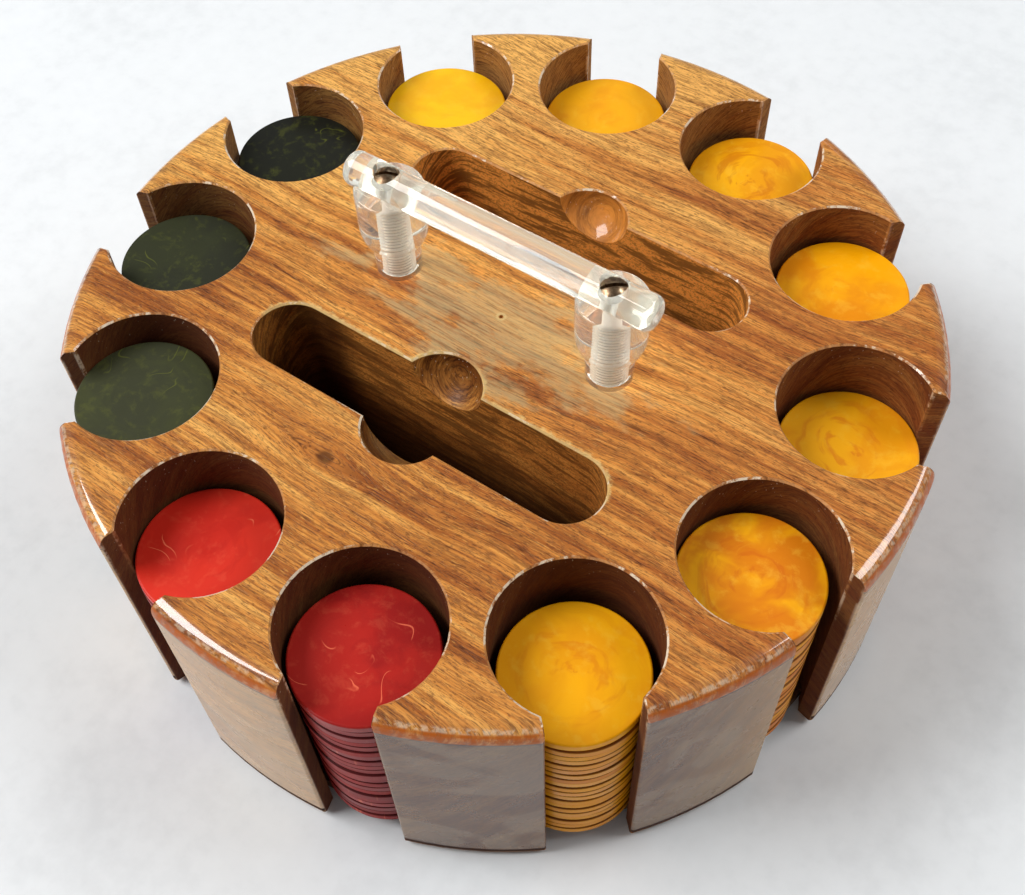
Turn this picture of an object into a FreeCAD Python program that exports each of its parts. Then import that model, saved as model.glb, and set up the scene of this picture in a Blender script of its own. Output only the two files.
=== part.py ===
import FreeCAD, Part
import math
import os

# Round wooden poker chip case with twelve chip wells, two card slots and a clear carrying handle.
# Millimetres. +Z is up, the table is z = 0, the origin is under the middle of the drum,
# and X runs along the handle, the card slots and the grain of the wood.

Vector = FreeCAD.Vector
UP = Vector(0, 0, 1)

# ---- driving dimensions ----
# drum: one turned block of wood
DRUM_RADIUS = 123.5
DRUM_HEIGHT = 85.5
TOP_ROUND = 4.5              # radius of the rounded upper edge
BOTTOM_EASE = 1.5            # radius of the eased lower edge
RIM_CHAMFER = 0.5            # bevel round every opening in the top face
CENTRE_MARK_RADIUS = 0.6     # pin hole left by the boring centre
CENTRE_MARK_DEPTH = 1.5

# base: a floor plate let into the underside, with felt glued below it
FELT_RADIUS = 113.0
FELT_THICKNESS = 1.5
PLATE_RADIUS = 116.0
PLATE_THICKNESS = 5.0
PLATE_CLEARANCE = 0.25

# wells: bored right through, each open to the side through a parallel-sided mouth
WELL_COUNT = 12
WELL_CIRCLE = 100.0
WELL_RADIUS = 21.5
FIRST_WELL_ANGLE = 15.0
MOUTH_HALF_WIDTH = 12.0
MOUTH_CORNER = 1.0           # rounding where a mouth meets the outer wall

# card slots: two, parallel to the handle, each with a finger scoop on both sides
SLOT_OFFSET = 36.95
SLOT_HALF_WIDTH = 10.8
SLOT_STRAIGHT = 91.0
SLOT_DEPTH = 65.0
SCOOP_RADIUS = 12.0
SCOOP_INSET = 3.4            # from the slot's long edge in to the scoop's centre

# chips
CHIP_RADIUS = 19.5
CHIP_THICKNESS = 3.2
CHIP_EDGE = 0.6              # rounding of both rims
CHIP_SCATTER = 0.35          # how far a chip sits off the axis of its stack
SCATTER_STEPS = 5            # the scatter runs through this many lengths, from none to the whole of it
SCATTER_STRIDE = 3           # how many of those lengths lie between one chip and the next
SCATTER_TURN = 137.5         # angle from one chip's scatter to the next, in degrees
SCATTER_START = 40.0         # angle between the first chips' scatters in neighbouring wells

# one row per well, going round from the first well:
# colour, number of chips, the stack's play outwards and sideways in its well
STACKS = [
    ("yellow", 19, 0.4, 1.55),
    ("yellow", 21, 1.5, 0.3),
    ("yellow", 21, 0.9, -1.2),
    ("yellow", 21, -0.3, 0.3),
    ("yellow", 22, -1.45, 0.6),
    ("green", 22, -0.95, 0.25),
    ("green", 22, -0.2, 1.55),
    ("green", 22, 1.5, -0.35),
    ("red", 20, 0.3, -1.2),
    ("red", 21, 1.4, 0.35),
    ("yellow", 20, 1.5, -0.5),
    ("yellow", 21, -1.05, -1.05),
]

# handle: a clear rod in the saddles of two clear posts, screwed down through both
POST_SPACING = 71.0
POST_FOOT_RADIUS = 6.75
POST_FOOT_HEIGHT = 11.2
POST_BARREL_RADIUS = 9.75
POST_BARREL_START = 17.5
POST_HEIGHT = 30.8
POST_TOP_ROUND = 0.8
POST_FOOT_ROUND = 0.5
POST_SHOULDER_INSET = 0.75   # from the barrel's side in to the middle of the shoulder's curve
POST_SHOULDER_DROP = 3.4     # and from the barrel's start down to it
ROD_RADIUS = 5.0
ROD_HEIGHT = 32.0            # rod axis above the drum's top
ROD_LENGTH = 97.0
ROD_END_ROUND = 2.6
SADDLE_CLEARANCE = 0.03

# handle screws: round heads sunk in the rod, threaded through the posts into the drum
SCREW_THREAD_RADIUS = 2.7
SCREW_SHANK_RADIUS = 2.3
SCREW_HEAD_RADIUS = 3.6
SCREW_HEAD_WALL = 1.6
SCREW_HEAD_DOME = 1.2
SCREW_SEAT = 33.2            # underside of the head above the drum's top
SCREW_BITE = 32.0            # how far the thread goes into the wood
SCREW_POINT = 4.0
SCREW_SLOT_WIDTH = 1.1
SCREW_SLOT_DEPTH = 1.4
SCREW_FIT = 0.05             # radial gap round thread and shank
HEAD_FIT = 0.2               # radial gap round the head

# base screws: countersunk wood screws that hold the floor plate
BASE_SCREW_COUNT = 6
BASE_SCREW_CIRCLE = 107.0
BASE_SCREW_LENGTH = 16.0
BASE_SCREW_RADIUS = 1.75
BASE_SCREW_HEAD_RADIUS = 3.5
BASE_SCREW_HEAD_DEPTH = 2.0
BASE_SCREW_POINT = 3.0

# ---- levels and lengths that follow ----
PLATE_BOTTOM = FELT_THICKNESS
WELL_FLOOR = PLATE_BOTTOM + PLATE_THICKNESS
DRUM_BOTTOM = PLATE_BOTTOM
DRUM_TOP = DRUM_BOTTOM + DRUM_HEIGHT
POST_X = POST_SPACING / 2
ROD_AXIS = DRUM_TOP + ROD_HEIGHT
PAST = 1.0                   # how far a cutting tool runs past a face


def polar(radius, angle, z=0.0):
    """A point at a radius and an angle in degrees round the drum's axis."""
    turn = math.radians(angle)
    return Vector(radius * math.cos(turn), radius * math.sin(turn), z)


def well_angle(index):
    return FIRST_WELL_ANGLE + index * 360.0 / WELL_COUNT


def line(start, end):
    return Part.LineSegment(start, end).toShape()


def arc(start, middle, end):
    return Part.Arc(start, middle, end).toShape()


def revolved(edges):
    """A full turn round Z of a closed profile that lies in the XZ plane."""
    return Part.Face(Part.Wire(edges)).revolve(Vector(0, 0, 0), UP, 360)


def profile_point(radius, z):
    return Vector(radius, 0, z)


def quarter(centre_radius, centre_z, radius, start, end):
    """An arc of a revolved profile, from one angle to another, in degrees."""
    centre = profile_point(centre_radius, centre_z)
    points = []
    for angle in (start, (start + end) / 2, end):
        turn = math.radians(angle)
        points.append(centre + profile_point(math.cos(turn), math.sin(turn)) * radius)
    return arc(*points)


# ---- drum ----
def turned_block():
    """The plain drum with its rounded edges, before any boring."""
    top_flat = DRUM_RADIUS - TOP_ROUND
    bottom_flat = DRUM_RADIUS - BOTTOM_EASE
    wall_low = profile_point(DRUM_RADIUS, DRUM_BOTTOM + BOTTOM_EASE)
    wall_high = profile_point(DRUM_RADIUS, DRUM_TOP - TOP_ROUND)
    return revolved([
        line(profile_point(0, DRUM_BOTTOM), profile_point(bottom_flat, DRUM_BOTTOM)),
        quarter(bottom_flat, wall_low.z, BOTTOM_EASE, -90, 0),
        line(wall_low, wall_high),
        quarter(top_flat, wall_high.z, TOP_ROUND, 0, 90),
        line(profile_point(top_flat, DRUM_TOP), profile_point(0, DRUM_TOP)),
        line(profile_point(0, DRUM_TOP), profile_point(0, DRUM_BOTTOM)),
    ])


def mouth_corner():
    """Centre of a mouth's corner rounding and its two tangent points, for a mouth that opens along +X."""
    reach = DRUM_RADIUS - MOUTH_CORNER
    side = MOUTH_HALF_WIDTH + MOUTH_CORNER
    centre = Vector(math.sqrt(reach ** 2 - side ** 2), side, 0)
    on_flat = Vector(centre.x, MOUTH_HALF_WIDTH, 0)
    on_rim = centre * (DRUM_RADIUS / reach)
    return centre, on_flat, on_rim


def turned(point, angle):
    """A point turned about the drum's axis, by an angle in degrees."""
    return FreeCAD.Rotation(UP, angle).multVec(point)


def mirrored(point):
    return Vector(point.x, -point.y, point.z)


def scalloped_outline():
    """The drum's plan: twelve wells that open through their mouths into the outer circle."""
    centre, on_flat, on_rim = mouth_corner()
    neck = WELL_CIRCLE + math.sqrt(WELL_RADIUS ** 2 - MOUTH_HALF_WIDTH ** 2)
    flat_start = Vector(neck, MOUTH_HALF_WIDTH, 0)
    corner_middle = centre + (on_flat + on_rim - centre * 2).normalize() * MOUTH_CORNER
    well_back = Vector(WELL_CIRCLE - WELL_RADIUS, 0, 0)
    step = 360.0 / WELL_COUNT
    edges = []
    for index in range(WELL_COUNT):
        angle = well_angle(index)
        low = [turned(mirrored(p), angle) for p in (on_rim, corner_middle, on_flat, flat_start)]
        high = [turned(p, angle) for p in (flat_start, on_flat, corner_middle, on_rim)]
        edges.append(arc(low[0], low[1], low[2]))
        edges.append(line(low[2], low[3]))
        edges.append(arc(low[3], turned(well_back, angle), high[0]))
        edges.append(line(high[0], high[1]))
        edges.append(arc(high[1], high[2], high[3]))
        next_start = turned(mirrored(on_rim), angle + step)
        edges.append(arc(high[3], polar(DRUM_RADIUS, angle + step / 2), next_start))
    return Part.Wire(edges)


def well_rim(angle):
    """The bevel round one well and its mouth, where they break the top face."""
    sections = []
    for grow, z in ((0.0, DRUM_TOP - RIM_CHAMFER), (RIM_CHAMFER + PAST, DRUM_TOP + PAST)):
        radius = WELL_RADIUS + grow
        half = MOUTH_HALF_WIDTH + grow
        neck = WELL_CIRCLE + math.sqrt(radius ** 2 - half ** 2)
        outside = DRUM_RADIUS + PAST
        plan = ((neck, half), (outside, half), (outside, -half), (neck, -half))
        corners = [Vector(x, y, z) for x, y in plan]
        back = Vector(WELL_CIRCLE - radius, 0, z)
        sections.append(Part.Wire([
            line(corners[0], corners[1]),
            line(corners[1], corners[2]),
            line(corners[2], corners[3]),
            arc(corners[3], back, corners[0]),
        ]))
    bevel = Part.makeLoft(sections, True, True)
    bevel.rotate(Vector(0, 0, 0), UP, angle)
    return bevel


def slot_wire(side, grow, z):
    """A card slot's outline: two straight sides joined by half circles."""
    half_length = SLOT_STRAIGHT / 2
    half_width = SLOT_HALF_WIDTH + grow
    y = side * SLOT_OFFSET
    return Part.Wire([
        line(Vector(-half_length, y - half_width, z), Vector(half_length, y - half_width, z)),
        arc(Vector(half_length, y - half_width, z), Vector(half_length + half_width, y, z),
            Vector(half_length, y + half_width, z)),
        line(Vector(half_length, y + half_width, z), Vector(-half_length, y + half_width, z)),
        arc(Vector(-half_length, y + half_width, z), Vector(-half_length - half_width, y, z),
            Vector(-half_length, y - half_width, z)),
    ])


def card_slot(side):
    """One card slot with its two finger scoops and the bevels round them."""
    pocket = Part.Face(slot_wire(side, 0, DRUM_TOP - SLOT_DEPTH)).extrude(UP * (SLOT_DEPTH + PAST))
    bevel = Part.makeLoft([slot_wire(side, 0, DRUM_TOP - RIM_CHAMFER),
                           slot_wire(side, RIM_CHAMFER + PAST, DRUM_TOP + PAST)], True, True)
    tools = [bevel]
    for edge in (-1, 1):
        centre = Vector(0, side * SLOT_OFFSET + edge * (SLOT_HALF_WIDTH - SCOOP_INSET), DRUM_TOP)
        tools.append(Part.makeSphere(SCOOP_RADIUS, centre))
        tools.append(Part.makeCone(SCOOP_RADIUS, SCOOP_RADIUS + RIM_CHAMFER + PAST, RIM_CHAMFER + PAST,
                                   centre - UP * RIM_CHAMFER, UP))
    return pocket.fuse(tools)


def drum():
    block = turned_block().common(Part.Face(scalloped_outline()).extrude(UP * (DRUM_TOP + PAST)))
    rebate = Part.makeCylinder(PLATE_RADIUS + PLATE_CLEARANCE, WELL_FLOOR, Vector(0, 0, 0), UP)
    cuts = [rebate, card_slot(-1), card_slot(1)]
    cuts.extend(well_rim(well_angle(index)) for index in range(WELL_COUNT))
    cuts.append(Part.makeCylinder(CENTRE_MARK_RADIUS, CENTRE_MARK_DEPTH + PAST,
                                  Vector(0, 0, DRUM_TOP - CENTRE_MARK_DEPTH), UP))
    for x in (-POST_X, POST_X):
        cuts.append(Part.makeCylinder(SCREW_THREAD_RADIUS + SCREW_FIT, SCREW_BITE + 2 * PAST,
                                      Vector(x, 0, DRUM_TOP - SCREW_BITE - PAST), UP))
    for index in range(BASE_SCREW_COUNT):
        place = polar(BASE_SCREW_CIRCLE, index * 360.0 / BASE_SCREW_COUNT, WELL_FLOOR - PAST)
        cuts.append(Part.makeCylinder(BASE_SCREW_RADIUS + SCREW_FIT, BASE_SCREW_LENGTH, place, UP))
    return block.cut(cuts)


# ---- base ----
def base_screw(place, gap=0.0):
    """A countersunk wood screw, head down, or with a gap the hole that it needs."""
    radius = BASE_SCREW_RADIUS + gap
    head = BASE_SCREW_HEAD_RADIUS + gap
    neck = BASE_SCREW_HEAD_DEPTH
    tip = BASE_SCREW_LENGTH
    shoulder = tip - BASE_SCREW_POINT
    screw = revolved([
        line(profile_point(0, 0), profile_point(head, 0)),
        line(profile_point(head, 0), profile_point(radius, neck)),
        line(profile_point(radius, neck), profile_point(radius, shoulder)),
        line(profile_point(radius, shoulder), profile_point(0, tip)),
        line(profile_point(0, tip), profile_point(0, 0)),
    ])
    screw.translate(place)
    return screw


def base_screw_places():
    return [polar(BASE_SCREW_CIRCLE, index * 360.0 / BASE_SCREW_COUNT, PLATE_BOTTOM)
            for index in range(BASE_SCREW_COUNT)]


def base_screws():
    return Part.makeCompound([base_screw(place) for place in base_screw_places()])


def base_plate():
    plate = Part.makeCylinder(PLATE_RADIUS, PLATE_THICKNESS, Vector(0, 0, PLATE_BOTTOM), UP)
    return plate.cut([base_screw(place, SCREW_FIT) for place in base_screw_places()])


def base_felt():
    return Part.makeCylinder(FELT_RADIUS, FELT_THICKNESS, Vector(0, 0, 0), UP)


# ---- handle ----
def handle_post(x):
    """A turned post: narrow foot, rounded shoulder, wide barrel and a saddle across its top."""
    shoulder = profile_point(POST_BARREL_RADIUS - POST_SHOULDER_INSET, POST_BARREL_START - POST_SHOULDER_DROP)
    neck = profile_point(POST_FOOT_RADIUS, POST_FOOT_HEIGHT)
    barrel = profile_point(POST_BARREL_RADIUS, POST_BARREL_START)
    top_flat = POST_BARREL_RADIUS - POST_TOP_ROUND
    foot_flat = POST_FOOT_RADIUS - POST_FOOT_ROUND
    post = revolved([
        line(profile_point(0, 0), profile_point(foot_flat, 0)),
        quarter(foot_flat, POST_FOOT_ROUND, POST_FOOT_ROUND, -90, 0),
        line(profile_point(POST_FOOT_RADIUS, POST_FOOT_ROUND), neck),
        arc(neck, shoulder, barrel),
        line(barrel, profile_point(POST_BARREL_RADIUS, POST_HEIGHT - POST_TOP_ROUND)),
        quarter(top_flat, POST_HEIGHT - POST_TOP_ROUND, POST_TOP_ROUND, 0, 90),
        line(profile_point(top_flat, POST_HEIGHT), profile_point(0, POST_HEIGHT)),
        line(profile_point(0, POST_HEIGHT), profile_point(0, 0)),
    ])
    saddle = Part.makeCylinder(ROD_RADIUS + SADDLE_CLEARANCE, 2 * ROD_LENGTH,
                               Vector(-ROD_LENGTH, 0, ROD_HEIGHT), Vector(1, 0, 0))
    thread = Part.makeCylinder(SCREW_THREAD_RADIUS + SCREW_FIT, POST_HEIGHT + 2 * PAST,
                               Vector(0, 0, -PAST), UP)
    post = post.cut([saddle, thread])
    post.translate(Vector(x, 0, DRUM_TOP))
    return post


def handle_rod():
    """The grip: a clear rod with rounded ends and a sunk screw hole over each post."""
    rod = Part.makeCylinder(ROD_RADIUS, ROD_LENGTH, Vector(-ROD_LENGTH / 2, 0, ROD_AXIS), Vector(1, 0, 0))
    ends = [edge for edge in rod.Edges if abs(edge.BoundBox.XLength) < 0.01]
    rod = rod.makeFillet(ROD_END_ROUND, ends)
    cuts = []
    for x in (-POST_X, POST_X):
        cuts.append(Part.makeCylinder(SCREW_SHANK_RADIUS + SCREW_FIT, 4 * ROD_RADIUS,
                                      Vector(x, 0, ROD_AXIS - 2 * ROD_RADIUS), UP))
        cuts.append(Part.makeCylinder(SCREW_HEAD_RADIUS + HEAD_FIT, 2 * ROD_RADIUS,
                                      Vector(x, 0, DRUM_TOP + SCREW_SEAT), UP))
    return rod.cut(cuts)


def handle_screw(x):
    """A long screw with a domed, slotted head, a plain shank in the rod and a thread below it."""
    wall_top = SCREW_SEAT + SCREW_HEAD_WALL
    dome_top = wall_top + SCREW_HEAD_DOME
    dome_radius = (SCREW_HEAD_RADIUS ** 2 + SCREW_HEAD_DOME ** 2) / (2 * SCREW_HEAD_DOME)
    half_reach = SCREW_HEAD_RADIUS / 2
    half_height = dome_top - dome_radius + math.sqrt(dome_radius ** 2 - half_reach ** 2)
    shank_end = ROD_HEIGHT - ROD_RADIUS
    corners = [profile_point(radius, z) for radius, z in (
        (0, dome_top),
        (0, -SCREW_BITE),
        (SCREW_THREAD_RADIUS, SCREW_POINT - SCREW_BITE),
        (SCREW_THREAD_RADIUS, shank_end),
        (SCREW_SHANK_RADIUS, shank_end),
        (SCREW_SHANK_RADIUS, SCREW_SEAT),
        (SCREW_HEAD_RADIUS, SCREW_SEAT),
        (SCREW_HEAD_RADIUS, wall_top),
    )]
    edges = [line(start, end) for start, end in zip(corners, corners[1:])]
    edges.append(arc(corners[-1], profile_point(half_reach, half_height), corners[0]))
    screw = revolved(edges)
    slot = Part.makeBox(4 * SCREW_HEAD_RADIUS, SCREW_SLOT_WIDTH, 2 * SCREW_SLOT_DEPTH,
                        Vector(-2 * SCREW_HEAD_RADIUS, -SCREW_SLOT_WIDTH / 2, dome_top - SCREW_SLOT_DEPTH))
    screw = screw.cut(slot)
    screw.translate(Vector(x, 0, DRUM_TOP))
    return screw


# ---- chips ----
def chip(centre):
    """One chip: a flat disc with both rims rounded."""
    flat = CHIP_RADIUS - CHIP_EDGE
    top = CHIP_THICKNESS
    disc = revolved([
        line(profile_point(0, 0), profile_point(flat, 0)),
        quarter(flat, CHIP_EDGE, CHIP_EDGE, -90, 0),
        line(profile_point(CHIP_RADIUS, CHIP_EDGE), profile_point(CHIP_RADIUS, top - CHIP_EDGE)),
        quarter(flat, top - CHIP_EDGE, CHIP_EDGE, 0, 90),
        line(profile_point(flat, top), profile_point(0, top)),
        line(profile_point(0, top), profile_point(0, 0)),
    ])
    disc.translate(centre)
    return disc


def stack_chips(index):
    """Every chip of one well, from the floor plate up, each a little off the stack's axis."""
    count, outward, sideways = STACKS[index][1:]
    angle = well_angle(index)
    axis = polar(WELL_CIRCLE + outward, angle) + polar(sideways, angle + 90)
    chips = []
    for level in range(count):
        share = (level * SCATTER_STRIDE + index) % SCATTER_STEPS / (SCATTER_STEPS - 1)
        scatter = polar(CHIP_SCATTER * share, SCATTER_TURN * level + SCATTER_START * index)
        chips.append(chip(axis + scatter + UP * (WELL_FLOOR + level * CHIP_THICKNESS)))
    return chips


def main():
    os.makedirs("parts", exist_ok=True)
    nodes = {
        "drum": drum(),
        "base_plate": base_plate(),
        "base_felt": base_felt(),
        "base_screws": base_screws(),
        "handle_post_left": handle_post(-POST_X),
        "handle_post_right": handle_post(POST_X),
        "handle_rod": handle_rod(),
        "handle_screw_left": handle_screw(-POST_X),
        "handle_screw_right": handle_screw(POST_X),
    }
    numbers = {}
    for index, stack in enumerate(STACKS):
        colour = stack[0]
        numbers[colour] = numbers.get(colour, 0) + 1
        chips = stack_chips(index)
        nodes[f"{colour}_stack_{numbers[colour]}"] = Part.makeCompound(chips[:-1])
        nodes[f"{colour}_top_chip_{numbers[colour]}"] = chips[-1]
    for name, shape in nodes.items():
        shape.exportStep(f"parts/{name}.step")
        print(name, len(shape.Solids), shape.isValid(), round(shape.Volume))


main()
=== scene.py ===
import math

import bmesh
import bpy
from mathutils import Matrix, Vector


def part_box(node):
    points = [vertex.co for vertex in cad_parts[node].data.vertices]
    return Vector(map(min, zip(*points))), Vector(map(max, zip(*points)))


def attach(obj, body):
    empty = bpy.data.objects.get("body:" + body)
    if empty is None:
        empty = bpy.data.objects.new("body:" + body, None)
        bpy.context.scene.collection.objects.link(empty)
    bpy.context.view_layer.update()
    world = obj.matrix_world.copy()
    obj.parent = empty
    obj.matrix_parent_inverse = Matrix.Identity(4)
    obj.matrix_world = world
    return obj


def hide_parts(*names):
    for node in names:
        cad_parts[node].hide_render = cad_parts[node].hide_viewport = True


# Looks of a round walnut poker chip case: wood, cast-resin chips, clear handle and its screws.
# Metres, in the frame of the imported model: +Z up, the table at z = 0, X along the grain and the handle.

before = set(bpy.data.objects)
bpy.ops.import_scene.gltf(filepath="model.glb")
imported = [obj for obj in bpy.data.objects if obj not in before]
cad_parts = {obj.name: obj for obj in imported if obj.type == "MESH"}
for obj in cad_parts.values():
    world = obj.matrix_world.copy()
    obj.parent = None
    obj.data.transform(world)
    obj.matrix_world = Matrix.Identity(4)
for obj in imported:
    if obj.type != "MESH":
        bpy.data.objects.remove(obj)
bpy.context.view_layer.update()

MM = 0.001

# ---- sizes taken from the frame ----
drum_low, drum_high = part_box("drum")
DRUM_RADIUS = drum_high.x
DRUM_BOTTOM = drum_low.z
DRUM_TOP = drum_high.z
_, plate_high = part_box("base_plate")
WELL_FLOOR = plate_high.z
chip_low, chip_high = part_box("yellow_top_chip_1")
CHIP_THICKNESS = chip_high.z - chip_low.z

# ---- sizes of the openings, which the wood's shading follows ----
WELL_STEP = 30.0             # degrees from one well to the next
WELL_CIRCLE = 100.0 * MM
WELL_RADIUS = 21.5 * MM
MOUTH_HALF_WIDTH = 12.0 * MM
SLOT_OFFSET = 36.95 * MM
SLOT_HALF_WIDTH = 10.8 * MM
SLOT_HALF_STRAIGHT = 45.5 * MM
SCOOP_RADIUS = 12.0 * MM
SCOOP_INSET = 3.4 * MM

# ---- handle ----
POST_X = 35.5 * MM
POST_FOOT_RADIUS = 6.75 * MM
POST_FOOT_HEIGHT = 11.2 * MM
POST_BARREL_RADIUS = 9.75 * MM
POST_BARREL_START = 17.5 * MM
POST_HEIGHT = 30.8 * MM
POST_EDGE = 0.8 * MM
POST_FOOT_EDGE = 0.5 * MM
FLARE_STEPS = 10
POST_SEGMENTS = 64
POST_SHARP = 38              # edges sharper than this many degrees stay sharp
SADDLE_SEGMENTS = 96
SADDLE_REACH = 0.03          # half the length of the cylinder that cuts the saddle
ROD_HEIGHT = 32.0 * MM
SADDLE_RADIUS = 5.03 * MM
BORE_RADIUS = 2.38 * MM
THREAD_PITCH = 1.10 * MM
THREAD_DEPTH = 0.16 * MM
THREAD_STEPS = 8             # rings of points in one turn of a thread
SCREW_CREST = 2.32 * MM
SCREW_SHANK = 2.1 * MM
SCREW_HEAD = 3.6 * MM
SCREW_SEAT = 33.2 * MM
SCREW_HEAD_WALL = 1.6 * MM
SCREW_HEAD_DOME = 1.2 * MM
SCREW_DEPTH = 32.0 * MM
SCREW_POINT = 4.0 * MM
SCREW_TIP_RADIUS = 0.2 * MM
SCREW_HEAD_EDGE = 0.15 * MM
DOME_STEPS = 10
SCREW_SEGMENTS = 48
SCREW_SHARP = 40
SCREW_SLOT_WIDTH = 1.1 * MM
SCREW_SLOT_DEPTH = 1.4 * MM
SCREW_SLOT_TURN = {"left": 28.0, "right": 40.0}

# ---- camera, at the photograph's angle ----
CAMERA_TARGET = Vector((27.55 * MM, -34.49 * MM, DRUM_TOP))
CAMERA_AZIMUTH = 36.60
CAMERA_ELEVATION = 56.03
CAMERA_ROLL = -2.55
CAMERA_DISTANCE = 342.87 * MM
CAMERA_LENS = 46.31
SENSOR_WIDTH = 36.0

# ---- floor and lights ----
FLOOR_REACH = 6.0            # from the middle of the floor to its edges
ROOM_COLOUR = (0.97, 0.99, 1.0, 1.0)
ROOM_STRENGTH = 0.19
LIGHT_DISTANCE = 2.2
# name: angle round the drum's axis, elevation, width, height, power
SOFTBOXES = {
    "softbox_left": (213, 50, 1.15, 1.15, 41.0),
    "softbox_right": (44, 50, 1.00, 1.00, 20.0),
    "softbox_back": (118, 42, 1.20, 0.60, 2.0),
}


# ---------------------------------------------------------------- node trees

def srgb(red, green, blue):
    """A linear colour from 0 to 255 display values."""
    linear = []
    for value in (red, green, blue):
        share = value / 255
        linear.append(share / 12.92 if share <= 0.04045 else ((share + 0.055) / 1.055) ** 2.4)
    return (*linear, 1.0)


class Shader:
    """A material whose node tree is written as expressions. Positions are the row frame's, at rest."""

    def __init__(self, name):
        self.material = bpy.data.materials.new(name)
        self.material.use_nodes = True
        self.tree = self.material.node_tree
        self.tree.nodes.clear()
        self.surface = self.node("ShaderNodeBsdfPrincipled")
        self.output = self.node("ShaderNodeOutputMaterial")
        self.tree.links.new(self.surface.outputs["BSDF"], self.output.inputs["Surface"])
        self.position = self.node("ShaderNodeTexCoord").outputs["Object"]

    def node(self, kind, **settings):
        made = self.tree.nodes.new(kind)
        for key, value in settings.items():
            setattr(made, key, value)
        return made

    def feed(self, value, socket):
        if isinstance(value, bpy.types.NodeSocket):
            self.tree.links.new(value, socket)
        else:
            socket.default_value = value

    def math(self, operation, *values):
        made = self.node("ShaderNodeMath", operation=operation)
        for value, socket in zip(values, made.inputs):
            self.feed(value, socket)
        return made.outputs[0]

    def add(self, a, b):
        return self.math("ADD", a, b)

    def subtract(self, a, b):
        return self.math("SUBTRACT", a, b)

    def multiply(self, a, b):
        return self.math("MULTIPLY", a, b)

    def vector(self, operation, *values):
        made = self.node("ShaderNodeVectorMath", operation=operation)
        for value, socket in zip(values, made.inputs):
            self.feed(value, socket)
        return made.outputs["Value"] if operation == "LENGTH" else made.outputs["Vector"]

    def scaled(self, vector, scale):
        return self.vector("MULTIPLY", vector, scale)

    def split(self, vector):
        made = self.node("ShaderNodeSeparateXYZ")
        self.feed(vector, made.inputs[0])
        return made.outputs[0], made.outputs[1], made.outputs[2]

    def join(self, x, y, z):
        made = self.node("ShaderNodeCombineXYZ")
        for value, socket in zip((x, y, z), made.inputs):
            self.feed(value, socket)
        return made.outputs[0]

    def length(self, x, y, z=0.0):
        return self.vector("LENGTH", self.join(x, y, z))

    def noise(self, vector, scale=1.0, detail=2.0, rough=0.5, distortion=0.0, colour=False):
        made = self.node("ShaderNodeTexNoise", noise_dimensions="3D")
        self.feed(vector, made.inputs["Vector"])
        self.feed(scale, made.inputs["Scale"])
        self.feed(detail, made.inputs["Detail"])
        self.feed(rough, made.inputs["Roughness"])
        self.feed(distortion, made.inputs["Distortion"])
        return made.outputs["Color"] if colour else made.outputs["Fac"]

    def random(self, value):
        made = self.node("ShaderNodeTexWhiteNoise", noise_dimensions="1D")
        self.feed(value, made.inputs["W"])
        return made.outputs["Value"]

    def band(self, value, low, high, start=0.0, end=1.0):
        """A smooth step of value, from start at low to end at high."""
        made = self.node("ShaderNodeMapRange", interpolation_type="SMOOTHSTEP")
        for key, number in zip(("Value", "From Min", "From Max", "To Min", "To Max"),
                               (value, low, high, start, end)):
            self.feed(number, made.inputs[key])
        return made.outputs["Result"]

    def strip(self, value, low, low_full, high_full, high):
        """One from low_full to high_full, fading out to low and to high."""
        return self.multiply(self.band(value, low, low_full), self.band(value, high, high_full))

    def blend(self, share, a, b):
        """From colour a, where share is none, to colour b."""
        made = self.node("ShaderNodeMix", data_type="RGBA")
        colours = [socket for socket in made.inputs if socket.type == "RGBA"]
        self.feed(share, made.inputs[0])
        self.feed(a, colours[0])
        self.feed(b, colours[1])
        return next(socket for socket in made.outputs if socket.type == "RGBA")

    def ramp(self, value, *stops):
        """Colours at places from 0 to 1, run together in between."""
        made = self.node("ShaderNodeValToRGB")
        self.feed(value, made.inputs[0])
        points = made.color_ramp.elements
        for place, colour in stops[2:]:
            points.new(place)
        for point, (place, colour) in zip(points, stops):
            point.position = place
            point.color = colour
        return made.outputs["Color"]

    def bump(self, height, distance, strength=1.0):
        made = self.node("ShaderNodeBump")
        self.feed(strength, made.inputs["Strength"])
        self.feed(distance, made.inputs["Distance"])
        self.feed(height, made.inputs["Height"])
        return made.outputs["Normal"]

    def finish(self, **values):
        """Feeds the surface's sockets by name, with underscores for spaces."""
        for key, value in values.items():
            self.feed(value, self.surface.inputs[key.replace("_", " ")])
        return self.material


MEAN_NOISE = (0.5, 0.5, 0.5)     # the mean of a coloured noise


# ---------------------------------------------------------------- wood

GOLD = srgb(246, 184, 96)
HONEY = srgb(217, 143, 64)
BROWN = srgb(170, 98, 40)
DARK = srgb(112, 56, 22)
PORE = srgb(60, 27, 10)
RED_HEART = srgb(180, 94, 42)
# white of chipped rims and specks, also a painted sheen line high on the rounded edge
WEAR_AND_SHEEN = srgb(250, 232, 204)
RUBBED = srgb(220, 156, 96)
CREAM = srgb(232, 200, 130)
BARE = srgb(186, 92, 16)
FOOT_EDGE = srgb(150, 98, 46)
HAZE = srgb(176, 158, 114)
DUST = srgb(196, 176, 148)
# painted light and painted shade for the front of the outer wall
WALL_SHEEN = srgb(228, 196, 150)
WALL_SHADE = srgb(72, 42, 20)
# painted shade for the wells' walls
WELL_SHADE = srgb(76, 33, 15)
# dark grain of the slots' walls, and their painted shade
SLOT_GRAIN_AND_SHADE = srgb(56, 26, 11)
# painted light on the slots' walls
SLOT_LIT = srgb(244, 160, 72)
SCOOP_TONE = srgb(228, 142, 54)

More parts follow.
